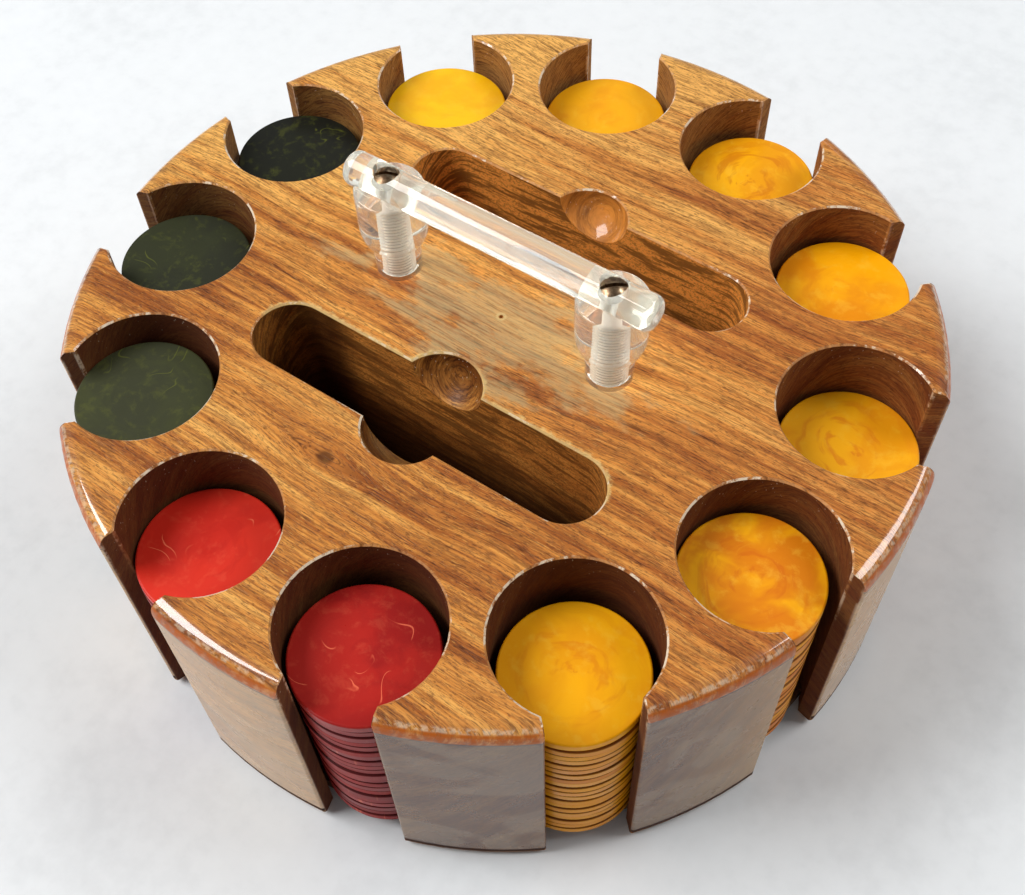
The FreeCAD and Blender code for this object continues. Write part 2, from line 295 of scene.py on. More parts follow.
KNOT = Vector((-11.4 * MM, -63.9 * MM))
KNOT_REACH = 13.0 * MM
KNOT_SWEEP = 3.0 * MM            # how far the grain moves aside for the knot
GRAIN_START = (0.0, 3.1, 0.7)
GRAIN_WANDER = (0.0, 0.012, 0.012)
PITH = Vector((0.36, -0.16))     # where the tree's heart would be, as Y and Z
FRONT_X = 0.6                    # the front, where the wall gets dust, painted light and painted shade and the top is a little darker, lies towards (FRONT_X, -FRONT_Y)
FRONT_Y = 0.8
MOUTH_EDGE_IN = 1.3 * MM         # from the outer wall in to the line of a mouth's rounded edge
MOUTH_EDGE_OUT = 0.6 * MM        # and from the mouth's side out to it
MOUTH_WEAR_START = 50 * MM       # the height where wear on the mouths' edges begins
WALL_NEAR = 0.05 * MM            # an opening's own wall starts this far past its edge in plan
WALL_FULL = 0.30 * MM


def below_top(depth):
    """The height that lies this many millimetres under the drum's top face."""
    return DRUM_TOP - depth * MM


def inside_wall(depth):
    """The radius that lies this many millimetres inside the drum's outer wall."""
    return DRUM_RADIUS - depth * MM


def pocket_distances(s):
    """In plan: how far a point of the drum is from the nearest well, the nearest slot and a mouth's edges."""
    x, y, _ = s.split(s.position)
    step = math.radians(WELL_STEP)
    share = s.math("FRACT", s.math("DIVIDE", s.math("ARCTAN2", y, x), step))
    folded = s.multiply(s.subtract(share, 0.5), step)
    radius = s.length(x, y)
    out = s.multiply(radius, s.math("COSINE", folded))
    side = s.math("ABSOLUTE", s.multiply(radius, s.math("SINE", folded)))
    bore = s.subtract(s.length(s.subtract(out, WELL_CIRCLE), side), WELL_RADIUS)
    mouth = s.math("MAXIMUM", s.subtract(side, MOUTH_HALF_WIDTH), s.subtract(WELL_CIRCLE, out))
    across = s.math("ABSOLUTE", s.subtract(s.math("ABSOLUTE", y), SLOT_OFFSET))
    past_end = s.math("MAXIMUM", s.subtract(s.math("ABSOLUTE", x), SLOT_HALF_STRAIGHT), 0.0)
    pocket = s.subtract(s.length(past_end, across), SLOT_HALF_WIDTH)
    scoop = s.subtract(s.length(x, s.subtract(across, SLOT_HALF_WIDTH - SCOOP_INSET)), SCOOP_RADIUS)
    neck = WELL_CIRCLE + math.sqrt(WELL_RADIUS ** 2 - MOUTH_HALF_WIDTH ** 2)
    inner_edge = s.length(s.subtract(out, neck), s.subtract(side, MOUTH_HALF_WIDTH))
    outer_edge = s.length(s.subtract(out, DRUM_RADIUS - MOUTH_EDGE_IN),
                          s.subtract(side, MOUTH_HALF_WIDTH + MOUTH_EDGE_OUT))
    return (s.math("MINIMUM", bore, mouth), s.math("MINIMUM", pocket, scoop),
            s.math("MINIMUM", inner_edge, outer_edge))


def grain_position(s, x, y, z):
    """Along the grain, out through the tree's rings and a little round them, with a sweep at the knot."""
    wander = s.vector("SUBTRACT", s.noise(s.position, scale=9, detail=2, colour=True), MEAN_NOISE)
    from_knot = s.subtract(y, KNOT.y)
    near = s.band(s.length(s.multiply(s.subtract(x, KNOT.x), 0.6), from_knot), 0.0, KNOT_REACH, 1.0, 0.0)
    aside = s.math("DIVIDE", from_knot, s.add(s.math("ABSOLUTE", from_knot), KNOT_SWEEP / 2))
    swept = s.join(x, s.subtract(y, s.multiply(s.multiply(near, aside), KNOT_SWEEP)), z)
    _, y, z = s.split(s.vector("ADD", swept, s.scaled(wander, GRAIN_WANDER)))
    ring = s.length(s.subtract(y, PITH.x), s.subtract(z, PITH.y))
    round_ring = s.add(s.multiply(y, 0.57), s.multiply(z, 0.82))
    return s.join(x, s.multiply(ring, 1.2), s.multiply(round_ring, 0.15))


def fine_lines(s, grain, along, across, width, share):
    """Thin dark pore lines: broken contour lines of a stretched noise."""
    level = s.math("ABSOLUTE", s.subtract(s.noise(s.scaled(grain, (along, across, across)), detail=1), 0.5))
    breaks = s.noise(s.scaled(grain, (along * 1.7, across * 0.6, across * 0.6)), detail=2)
    return s.multiply(s.band(level, 0.0, width, 1.0, 0.0), s.band(breaks, share, share + 0.1))


def dashes(s, grain, along, across, low, high):
    """Short strokes along the grain."""
    return s.band(s.noise(s.scaled(grain, (along, across, across)), detail=2, rough=0.6), low, high)


class DrumPoint:
    """Where a point of the drum lies, and the masks and noises that several steps of the wood share."""

    def __init__(self, s):
        self.well, self.slot, self.mouth_edge = pocket_distances(s)
        self.opening = s.math("MINIMUM", self.well, self.slot)
        self.x, self.y, self.z = s.split(s.position)
        self.radius = s.length(self.x, self.y)
        self.frontward = s.subtract(s.multiply(self.x, FRONT_X), s.multiply(self.y, FRONT_Y))
        self.on_top = s.band(self.z, below_top(0.2), DRUM_TOP)
        self.grain = grain_position(s, self.x, self.y, self.z)
        self.streak = s.noise(s.scaled(self.grain, (16, 260, 260)), detail=4, rough=0.60)
        self.fibre = s.noise(s.scaled(self.grain, (80, 1700, 1700)), detail=3, rough=0.6)
        self.ragged = s.noise(s.position, scale=520, detail=4, rough=0.65)
        self.find_openings(s)
        self.find_wall(s)

    def find_openings(self, s):
        """The walls of the wells, of the slots, and of the scoops beside the slots."""
        below = s.band(self.z, below_top(0.7), below_top(0.3), 1.0, 0.0)
        self.in_well = s.multiply(s.band(self.well, WALL_NEAR, WALL_FULL, 1.0, 0.0), below)
        in_pocket = s.multiply(s.band(self.slot, WALL_NEAR, WALL_FULL, 1.0, 0.0), below)
        across = s.math("ABSOLUTE", s.subtract(s.math("ABSOLUTE", self.y), SLOT_OFFSET))
        from_scoop = s.length(self.x, s.subtract(across, SLOT_HALF_WIDTH - SCOOP_INSET),
                              s.subtract(self.z, DRUM_TOP))
        off_scoop = s.math("ABSOLUTE", s.subtract(from_scoop, SCOOP_RADIUS))
        self.in_scoop = s.multiply(s.band(off_scoop, 0.12 * MM, 0.30 * MM, 1.0, 0.0), below)
        self.far_scoop = s.multiply(self.in_scoop, s.band(self.y, 0.0, SLOT_OFFSET))
        self.in_slot = s.multiply(in_pocket, s.subtract(1.0, self.in_scoop))

    def find_wall(self, s):
        """The outer wall, the bare band low on its rounded edge, the flat wall under that, and its foot."""
        self.outer = s.multiply(s.band(self.radius, inside_wall(3.0), inside_wall(2.0)),
                                s.subtract(1.0, self.in_well))
        low_round = s.strip(self.z, below_top(4.6), below_top(4.2), below_top(1.7), below_top(1.1))
        self.bare = s.multiply(s.multiply(low_round, self.outer), s.band(self.ragged, 0.38, 0.58, 0.45, 0.95))
        self.wall = s.multiply(self.outer, s.band(self.z, below_top(4.0), below_top(4.6)))
        foot_edge = s.add(self.z, s.multiply(self.ragged, 0.5 * MM))
        self.foot = s.multiply(self.outer, s.band(foot_edge, DRUM_BOTTOM + 3.6 * MM, DRUM_BOTTOM + 3.9 * MM,
                                                  1.0, 0.0))


def pore_mask(s, at):
    """Long and short pores, fewer where the wood is pale."""
    coarse = fine_lines(s, at.grain, 60, 1250, 0.050, 0.45)
    fine = fine_lines(s, at.grain, 190, 2300, 0.060, 0.46)
    short = dashes(s, at.grain, 480, 3000, 0.57, 0.65)
    long = s.math("MAXIMUM", s.multiply(coarse, s.band(at.streak, 0.36, 0.60, 1.00, 0.45)),
                  s.multiply(fine, 0.70))
    return s.math("MAXIMUM", long, s.multiply(short, 0.70))


def plain_wood(s, at, pores):
    """Bands and streaks, redder towards the tree's heart and pale at its far side, with pores and a knot."""
    broad = s.noise(s.vector("ADD", s.scaled(at.grain, (5, 40, 40)), GRAIN_START), detail=3)
    heart = s.band(s.add(s.multiply(at.x, 0.80), s.multiply(at.y, 0.30)), -0.02, 0.11)
    sap = s.band(s.subtract(at.y, at.x), 0.05, 0.13)
    tone = s.add(s.add(s.multiply(broad, 0.32), s.multiply(at.streak, 0.52)), 0.080)
    tone = s.subtract(tone, s.multiply(at.frontward, 0.22))
    tone = s.subtract(tone, s.multiply(heart, 0.012))
    tone = s.add(tone, s.add(s.multiply(sap, 0.080), s.band(at.y, 0.03, 0.12, 0.0, 0.020)))
    colour = s.ramp(tone, (0.33, DARK), (0.42, BROWN), (0.50, HONEY), (0.61, GOLD))
    colour = s.blend(s.multiply(heart, 0.30), colour, RED_HEART)
    colour = s.blend(s.band(at.fibre, 0.36, 0.58, 0.50, 0.0), colour, DARK)
    colour = s.blend(s.multiply(dashes(s, at.grain, 300, 2300, 0.58, 0.70), 0.32), colour, GOLD)
    colour = s.blend(s.multiply(pores, 0.82), colour, PORE)
    knot = s.length(s.multiply(s.subtract(at.x, KNOT.x), 0.8), s.subtract(at.y, KNOT.y))
    knot = s.add(knot, s.multiply(s.subtract(at.streak, 0.5), 2.5 * MM))
    return s.blend(s.band(knot, 0.9 * MM, 2.6 * MM, 0.75, 0.0), colour, PORE)


def openings_grain_light_and_shade(s, at, colour):
    """Painted shade in the wells, less of it at the back, and rough dark grain in the slots, with painted
    light on their walls, more in the far slot, and painted shade low in them. The near slot's left end gets a
    painted shadow and its near scoop painted shade.
    """
    # painted shade in the wells, stronger at the front than at the back
    well_shade_share = s.band(at.y, -50 * MM, 60 * MM, 0.88, 0.58)
    colour = s.blend(s.multiply(at.in_well, well_shade_share), colour, WELL_SHADE)
    # painted light on the slots' walls, stronger in the far slot
    colour = s.blend(s.multiply(at.in_slot, s.band(at.y, 0.0, SLOT_OFFSET, 0.30, 0.95)), colour, SLOT_LIT)
    mottle = s.noise(s.scaled(s.position, (1300, 1500, 1500)), detail=3, rough=0.7)
    layers = s.noise(s.scaled(at.grain, (45, 560, 560)), detail=5, rough=0.75)
    dark_grain = s.math("MAXIMUM", s.band(layers, 0.45, 0.53, 1.0, 0.0),
                        s.band(mottle, 0.40, 0.50, 0.7, 0.0))
    dark_grain = s.multiply(dark_grain, s.band(at.y, 0.0, SLOT_OFFSET, 0.64, 0.72))
    # painted shade lower in the slots, and a painted shadow across the near slot's left end
    depth_shade = s.band(at.z, below_top(46), below_top(14), 0.90, 0.0)
    left_end_shadow = s.multiply(s.band(at.x, -55 * MM, -47 * MM, 0.35, 0.85),
                          s.band(at.x, -41 * MM, -29 * MM, 1.0, 0.0))
    left_end_shadow = s.multiply(left_end_shadow, s.band(at.y, -5 * MM, 5 * MM, 1.0, 0.0))
    for share in (dark_grain, depth_shade, left_end_shadow):
        colour = s.blend(s.multiply(at.in_slot, share), colour, SLOT_GRAIN_AND_SHADE)
    colour = s.blend(s.multiply(at.in_scoop, s.band(at.streak, 0.40, 0.56, 0.60, 0.25)), colour, SLOT_GRAIN_AND_SHADE)
    # painted shade on the near slot's near scoop
    near_scoop_shade = s.multiply(at.in_scoop, s.band(at.y, -SLOT_OFFSET - 6 * MM, -SLOT_OFFSET, 0.65, 0.0))
    colour = s.blend(near_scoop_shade, colour, SLOT_GRAIN_AND_SHADE)
    return s.blend(s.multiply(at.far_scoop, s.band(at.streak, 0.36, 0.60, 0.25, 0.75)), colour, SCOOP_TONE)


def rim_mask(s, at):
    """The bevelled rims of the openings in the top face, and the edges of the mouths."""
    rim = s.multiply(s.band(at.z, below_top(0.62), below_top(0.42)),
                     s.band(at.opening, 0.36 * MM, 0.58 * MM, 1.0, 0.0))
    edges = s.multiply(s.band(at.mouth_edge, 0.35 * MM, 0.9 * MM, 0.5, 0.0),
                       s.band(at.z, MOUTH_WEAR_START, DRUM_TOP, 0.0, 1.0))
    return s.math("MAXIMUM", rim, edges)


def wear_rims(s, at, colour, rim):
    """Rims rubbed pale and chipped white here and there, one brushed edge, and specks under the rims."""
    stretch = s.noise(s.position, scale=70, detail=2)
    colour = s.blend(s.multiply(rim, s.band(at.ragged, 0.36, 0.58, 0.05, 0.60)), colour, RUBBED)
    white = s.multiply(s.band(s.add(stretch, s.multiply(at.ragged, 0.6)), 0.82, 0.92), 0.90)
    colour = s.blend(s.multiply(rim, white), colour, WEAR_AND_SHEEN)

    # the near slot's edge towards the handle
    brushed = s.multiply(s.band(at.y, -SLOT_OFFSET, 2 * MM - SLOT_OFFSET),
                         s.band(at.y, -20 * MM, -16 * MM, 1.0, 0.0))
    brushed = s.multiply(brushed, s.band(at.z, below_top(0.9), below_top(0.5)))
    ragged_slot = s.add(at.slot, s.multiply(at.ragged, 4.0 * MM))
    brushed = s.multiply(brushed, s.band(ragged_slot, 2.0 * MM, 3.6 * MM, 0.70, 0.0))
    colour = s.blend(brushed, colour, CREAM)

    speck = s.noise(s.scaled(s.position, (1500, 1500, 900)), detail=1)
    pocked = s.math("MAXIMUM", s.multiply(at.in_well, 0.35), s.multiply(at.in_scoop, 0.6))
    glint = s.multiply(s.band(speck, 0.71, 0.76), pocked)
    glint = s.multiply(glint, s.band(at.z, below_top(12), below_top(1)))
    colour = s.blend(glint, colour, WEAR_AND_SHEEN)
    pin_ring = s.multiply(s.band(at.radius, 0.7 * MM, 0.9 * MM),
                          s.band(at.radius, 1.2 * MM, 1.8 * MM, 0.55, 0.0))
    return s.blend(s.multiply(pin_ring, at.on_top), colour, CREAM)


def wall_wear_light_and_shade(s, at, colour):
    """A painted sheen line and bare wood on the rounded edge, then a dark line, painted light and painted
    shade with some dust on the front of the wall, and a tan bottom edge under a band of painted shade.
    """
    # a painted sheen line high on the rounded edge
    sheen_line = s.strip(at.z, below_top(1.7), below_top(1.1), below_top(0.7), below_top(0.2))
    sheen_line = s.multiply(s.multiply(sheen_line, at.outer), s.band(at.ragged, 0.42, 0.60, 0.0, 0.36))
    colour = s.blend(sheen_line, colour, WEAR_AND_SHEEN)
    colour = s.blend(at.bare, colour, BARE)
    # painted light on the front of the wall near x = 0, painted shade where x passes 50 mm
    front_shade = s.multiply(s.band(at.x, 5 * MM, 50 * MM), s.band(at.y, -80 * MM, -10 * MM, 1.0, 0.0))
    front_wall = s.multiply(at.wall, s.band(at.frontward, 0.0, 70 * MM))
    colour = s.blend(s.multiply(front_wall, s.band(front_shade, 0.0, 1.0, 0.48, 0.78)), colour,
                     s.blend(front_shade, WALL_SHEEN, WALL_SHADE))
    # a dark line where the rounded edge meets the flat wall
    dark_round_line = s.strip(at.z, below_top(5.4), below_top(4.8), below_top(4.6), below_top(4.2))
    colour = s.blend(s.multiply(s.multiply(dark_round_line, at.outer), 0.7), colour, PORE)
    smudge = s.noise(s.scaled(s.position, (24, 24, 34)), detail=6, rough=0.45, distortion=1.8)
    smudged = s.multiply(front_wall, s.band(smudge, 0.47, 0.57))
    colour = s.blend(s.multiply(smudged, 0.18), colour, DUST)
    colour = s.blend(s.multiply(at.foot, 0.8), colour, FOOT_EDGE)
    # painted shade in a band low on the wall, above the tan bottom edge
    foot_shade = s.band(at.z, DRUM_BOTTOM + 1.5 * MM, DRUM_BOTTOM + 1.8 * MM)
    return s.blend(s.multiply(at.foot, foot_shade), colour, PORE)


def film_mask(s, at):
    """A dull patchy film of old polish round the handle's feet."""
    place = s.length(s.multiply(s.subtract(at.x, 4 * MM), 0.45), s.add(at.y, 3 * MM))
    patchy = s.noise(s.scaled(s.position, (60, 110, 60)), detail=5, rough=0.6)
    film = s.band(s.add(place, s.multiply(patchy, 0.080)), 0.050, 0.062, 1.0, 0.0)
    return s.multiply(film, at.on_top)


def walnut():
    """Oiled walnut with its grain along X, worn at the rims and lacquered on the outside."""
    s = Shader("walnut")
    at = DrumPoint(s)
    pores = pore_mask(s, at)
    rim = rim_mask(s, at)
    film = film_mask(s, at)
    colour = plain_wood(s, at, pores)
    colour = openings_grain_light_and_shade(s, at, colour)
    colour = wear_rims(s, at, colour, rim)
    colour = wall_wear_light_and_shade(s, at, colour)
    colour = s.blend(s.multiply(film, s.band(at.fibre, 0.34, 0.60, 0.28, 0.62)), colour, HAZE)

    lacquer = s.band(at.radius, inside_wall(4.8), inside_wall(4.2))
    lacquer = s.multiply(lacquer, s.band(at.opening, 0.0, 0.3 * MM))
    gloss = s.add(0.34, s.multiply(s.noise(s.position, scale=90, detail=3), 0.16))
    gloss = s.add(gloss, s.multiply(film, 0.30))
    gloss = s.subtract(gloss, s.multiply(lacquer, 0.14))
    gloss = s.add(gloss, s.math("MAXIMUM", s.multiply(at.foot, 0.50), s.multiply(at.in_well, 0.40)))
    gloss = s.add(gloss, s.multiply(at.bare, 0.20))
    relief = s.subtract(s.multiply(at.fibre, 0.35), s.multiply(pores, 0.8))
    relief = s.multiply(relief, s.subtract(1.0, s.multiply(lacquer, 0.9)))
    normal = s.bump(relief, 0.10 * MM, 0.6)
    dull = s.math("MAXIMUM", s.multiply(at.wall, 0.80), s.multiply(at.bare, 0.90))
    coat = s.multiply(s.multiply(lacquer, s.subtract(1.0, at.foot)), s.subtract(1.0, dull))
    coat = s.math("MAXIMUM", coat, s.multiply(at.far_scoop, 0.5))
    coat = s.math("MAXIMUM", coat, s.multiply(rim, s.band(at.ragged, 0.34, 0.52, 0.1, 1.0)))
    return s.finish(Base_Color=colour, Roughness=gloss, Normal=normal, Specular_IOR_Level=0.22,
                    Coat_Weight=coat, Coat_Roughness=0.07, Coat_IOR=1.7)


# ---------------------------------------------------------------- chips

# one row per well, by its chips' nodes:
# body tone, cloud tone, share of cloud, share of swirl, turn of the pattern
CHIPS = {
    "yellow_1": (srgb(255, 182, 12), srgb(224, 118, 14), 0.35, 0.60, 0.3),
    "yellow_2": (srgb(255, 176, 0), srgb(226, 122, 4), 0.60, 0.25, 1.1),
    "yellow_3": (srgb(255, 184, 6), srgb(206, 106, 8), 0.35, 0.60, 2.4),
    "yellow_4": (srgb(255, 184, 18), srgb(232, 142, 12), 0.50, 0.15, 3.3),
    "yellow_5": (srgb(255, 202, 20), srgb(244, 164, 8), 0.50, 0.15, 4.2),
    "yellow_6": (srgb(255, 180, 0), srgb(232, 138, 4), 0.35, 0.65, 5.6),
    "yellow_7": (srgb(255, 180, 2), srgb(214, 104, 8), 0.75, 0.60, 0.9),
    "green_1": (srgb(26, 27, 21), srgb(34, 36, 22), 0.40, 0.20, 1.7),
    "green_2": (srgb(42, 44, 30), srgb(52, 56, 30), 0.50, 0.20, 2.9),
    "green_3": (srgb(58, 60, 40), srgb(70, 74, 40), 0.50, 0.25, 3.8),
    "red_1": (srgb(226, 52, 34), srgb(190, 28, 20), 0.45, 0.25, 4.9),
    "red_2": (srgb(184, 39, 31), srgb(140, 20, 22), 0.60, 0.20, 1.9),
}
FLECKS = {"yellow": srgb(255, 204, 60), "green": srgb(142, 148, 44), "red": srgb(255, 124, 88)}
FLECK_SHARE = {"yellow": 0.10, "green": 0.24, "red": 0.80}
FLECK_PLACES = {"yellow": 0.56, "green": 0.56, "red": 0.54}
CLOUD_FLECKS = {"yellow": 0.30, "green": 0.10, "red": 0.12}
GAP_START = 17.6 * MM            # the gaps between chips show from here outwards
GAP_FULL = 18.6 * MM
# painted shade in the gaps between stacked chips
GAP_SHADES = {"yellow": srgb(104, 44, 2), "green": srgb(6, 8, 4), "red": srgb(52, 3, 6)}
# each stacked chip's own tone, with painted shade on the chips under the top one
STACK_SHADE_AND_TONES = {"yellow": srgb(210, 112, 0), "green": srgb(18, 22, 14), "red": srgb(126, 12, 14)}


def swirls(s, from_middle, level, turn):
    """Clouds, and arcs that curl round the chip's middle. Also the bent position that both follow."""
    bend = s.vector("SUBTRACT", s.noise(from_middle, scale=55, detail=3, colour=True), MEAN_NOISE)
    flow = s.vector("ADD", from_middle, s.scaled(bend, (0.010, 0.010, 0.0)))
    clouds = s.band(s.noise(flow, scale=42, detail=4, rough=0.55, distortion=0.5), 0.42, 0.60)
    flow_x, flow_y, _ = s.split(flow)
    reach = s.length(flow_x, flow_y)
    around_x = s.math("DIVIDE", flow_x, s.add(reach, 0.2 * MM))
    around_y = s.math("DIVIDE", flow_y, s.add(reach, 0.2 * MM))
    outward = s.add(s.multiply(reach, 330), turn * 5)
    curl = s.join(s.multiply(around_x, 0.75), s.multiply(around_y, 0.75), outward)
    curl = s.vector("ADD", curl, s.join(0, 0, s.multiply(level, 9.7)))
    arcs = s.band(s.noise(curl, detail=3, rough=0.5), 0.52, 0.66)
    return flow, clouds, s.multiply(arcs, s.band(reach, 9 * MM, 17 * MM, 1.0, 0.35))


def bright_veins(s, from_middle, family):
    """Short bright threads in a few places."""
    vein = s.math("ABSOLUTE", s.subtract(s.noise(from_middle, scale=62, detail=1, distortion=1.2), 0.5))
    places = s.noise(from_middle, scale=95, detail=1)
    first = FLECK_PLACES[family]
    return s.multiply(s.band(vein, 0.002, 0.013, 1.0, 0.0), s.band(places, first, first + 0.11))


def resin(well):
    """Cast resin, clouded and swirled about each chip's middle, every chip of a stack a little different."""
    body, cloud, cloud_share, swirl_share, turn = CHIPS[well]
    family, number = well.split("_")
    low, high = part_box(f"{family}_top_chip_{number}")
    middle = (low + high) / 2
    s = Shader(f"{well}_resin")
    x, y, z = s.split(s.position)
    level = s.math("FLOOR", s.math("DIVIDE", s.subtract(z, WELL_FLOOR + 0.01 * MM), CHIP_THICKNESS))
    shade = s.random(s.add(level, turn * 7))
    aside_x, aside_y = s.subtract(x, middle.x), s.subtract(y, middle.y)
    from_middle = s.join(aside_x, aside_y, s.multiply(s.add(level, turn), 0.21))
    flow, clouds, arcs = swirls(s, from_middle, level, turn)
    colour = s.blend(s.multiply(clouds, cloud_share), body, cloud)
    colour = s.blend(s.multiply(arcs, swirl_share), colour, cloud)
    grainy = s.noise(flow, scale=240, detail=4, rough=0.65)
    colour = s.blend(s.band(grainy, 0.50, 0.70, 0.0, CLOUD_FLECKS[family]), colour, FLECKS[family])
    veins = bright_veins(s, from_middle, family)
    colour = s.blend(s.multiply(veins, FLECK_SHARE[family]), colour, FLECKS[family])

    # each chip's own tone down the stack, painted shade on the chips under the top one, and painted shade in
    # the gaps between chips, seen only at their sides
    stacked = s.band(z, low.z, low.z + 0.1 * MM, 1.0, 0.0)
    share_up = s.math("FRACT", s.math("DIVIDE", s.subtract(z, WELL_FLOOR), CHIP_THICKNESS))
    to_gap = s.math("MINIMUM", share_up, s.subtract(1.0, share_up))
    near_edge = s.band(s.length(aside_x, aside_y), GAP_START, GAP_FULL)
    gap_shade = s.multiply(s.multiply(stacked, near_edge), s.band(to_gap, 0.06, 0.20, 0.85, 0.0))
    own_shade = s.multiply(shade, s.band(stacked, 0.0, 1.0, 0.15, 0.75))
    # painted shade on the chips under the top one, mixed with each chip's own tone
    depth = s.math("MAXIMUM", s.multiply(stacked, 0.35), own_shade)
    colour = s.blend(depth, colour, STACK_SHADE_AND_TONES[family])
    colour = s.blend(gap_shade, colour, GAP_SHADES[family])
    gloss = s.add(0.22, s.multiply(s.noise(s.position, scale=260, detail=4), 0.16))
    gloss = s.add(gloss, s.multiply(s.random(s.add(level, turn * 3)), 0.22))
    normal = s.bump(s.noise(s.position, scale=700, detail=3), 0.05 * MM, 0.25)
    return s.finish(Base_Color=colour, Roughness=gloss, Normal=normal, Specular_IOR_Level=0.2)


# ---------------------------------------------------------------- other materials

def acrylic():
    """Clear cast acrylic, a little milky, and frosted round the screws. Lamps shine through it."""
    s = Shader("clear_acrylic")
    x, y, z = s.split(s.position)
    from_axis = s.length(s.subtract(s.math("ABSOLUTE", x), POST_X), y)
    rod_axis = DRUM_TOP + ROD_HEIGHT
    thread_root = BORE_RADIUS + THREAD_DEPTH
    bored = s.multiply(s.band(from_axis, thread_root, BORE_RADIUS + 2 * THREAD_DEPTH, 1.0, 0.0),
                       s.band(z, rod_axis + 1 * MM, rod_axis + 3 * MM, 1.0, 0.0))
    under = s.band(z, DRUM_TOP + 0.2 * MM, DRUM_TOP + 0.7 * MM, 0.25, 0.0)
    frosted = s.math("MAXIMUM", bored, under)
    wear = s.band(s.noise(s.scaled(s.position, (900, 500, 500)), detail=3), 0.55, 0.76, 0.0, 0.10)
    gloss = s.add(s.add(0.04, wear), s.multiply(frosted, 0.30))
    clarity = s.subtract(0.86, s.multiply(frosted, 0.30))
    normal = s.bump(s.noise(s.position, scale=230, detail=2), 0.02 * MM, 0.05)
    material = s.finish(Base_Color=srgb(255, 254, 244), Roughness=gloss, Normal=normal,
                        Transmission_Weight=clarity, IOR=1.49)
    lamps_through = s.node("ShaderNodeMixShader")
    s.feed(s.node("ShaderNodeLightPath").outputs["Is Shadow Ray"], lamps_through.inputs[0])
    s.feed(s.surface.outputs["BSDF"], lamps_through.inputs[1])
    s.feed(s.node("ShaderNodeBsdfTransparent").outputs["BSDF"], lamps_through.inputs[2])
    s.feed(lamps_through.outputs["Shader"], s.output.inputs["Surface"])
    return material


def bronze():
    """Dark patinated screw metal, brighter where the driver and fingers have rubbed it."""
    s = Shader("bronze")
    patina = s.noise(s.position, scale=900, detail=4)
    colour = s.ramp(patina, (0.35, srgb(92, 70, 52)), (0.55, srgb(142, 118, 92)), (0.75, srgb(190, 172, 144)))
    gloss = s.band(patina, 0.3, 0.7, 0.42, 0.24)
    normal = s.bump(s.noise(s.position, scale=2400, detail=3), 0.03 * MM, 0.3)
    return s.finish(Base_Color=colour, Roughness=gloss, Normal=normal, Metallic=1.0)


def felt():
    """Green wool felt with short matted fibres."""
    s = Shader("green_felt")
    matted = s.noise(s.position, scale=1800, detail=5, rough=0.7)
    patches = s.noise(s.position, scale=60, detail=2)
    colour = s.ramp(s.add(s.multiply(matted, 0.7), s.multiply(patches, 0.3)),
                    (0.35, srgb(24, 58, 36)), (0.65, srgb(52, 98, 62)))
    normal = s.bump(matted, 0.4 * MM, 0.8)
    return s.finish(Base_Color=colour, Roughness=s.band(matted, 0.2, 0.8, 0.98, 0.85), Normal=normal,
                    Sheen_Weight=0.4)


def hardboard():
    """Pressed fibre board, brown and faintly mottled."""
    s = Shader("hardboard")
    chips = s.noise(s.position, scale=1100, detail=4, rough=0.65)
    colour = s.ramp(chips, (0.35, srgb(78, 50, 32)), (0.6, srgb(112, 76, 48)), (0.75, srgb(140, 100, 66)))
    return s.finish(Base_Color=colour, Roughness=s.band(chips, 0.3, 0.7, 0.7, 0.5),
                    Normal=s.bump(chips, 0.06 * MM, 0.4))


def brass():
    """Brass wood screws, tarnished."""
    s = Shader("brass")
    tarnish = s.noise(s.position, scale=700, detail=4)
    colour = s.ramp(tarnish, (0.35, srgb(120, 86, 38)), (0.65, srgb(190, 152, 78)))
    return s.finish(Base_Color=colour, Roughness=s.band(tarnish, 0.3, 0.7, 0.45, 0.28), Metallic=1.0)


def paper():
    """The plain pale surface that the case stands on, faintly mottled."""
    s = Shader("studio_floor")
    cloudy = s.noise(s.position, scale=14, detail=6, rough=0.6)
    freckle = s.noise(s.position, scale=130, detail=3, rough=0.6)
    colour = s.ramp(s.add(s.multiply(cloudy, 0.6), s.multiply(freckle, 0.4)),
                    (0.36, srgb(226, 229, 231)), (0.50, srgb(233, 236, 238)), (0.64, srgb(236, 239, 241)))
    return s.finish(Base_Color=colour, Roughness=s.band(cloudy, 0.3, 0.7, 0.75, 0.65),
                    Specular_IOR_Level=0.15)


# ---------------------------------------------------------------- handle pieces

def ring_mesh(name, rings, segments, closed):
    """A mesh through rings of points: each ring is a height and a radius, or a radius for each angle."""
    mesh = bmesh.new()
    grid = []
    for z, radius in rings:
        row = []
        for index in range(segments):
            turn = 2 * math.pi * index / segments
            reach = radius(turn) if callable(radius) else radius
            row.append(mesh.verts.new((reach * math.cos(turn), reach * math.sin(turn), z)))
        grid.append(row)
    pairs = list(zip(grid, grid[1:]))
    if closed:
        pairs.append((grid[-1], grid[0]))
    for low, high in pairs:
        for index in range(segments):
            following = (index + 1) % segments
            mesh.faces.new((low[index], low[following], high[following], high[index]))
    if not closed:
        mesh.faces.new(list(reversed(grid[0])))
        mesh.faces.new(grid[-1])
    bmesh.ops.recalc_face_normals(mesh, faces=mesh.faces)
    data = bpy.data.meshes.new(name)
    mesh.to_mesh(data)
    mesh.free()
    piece = bpy.data.objects.new(name, data)
    bpy.context.scene.collection.objects.link(piece)
    return piece


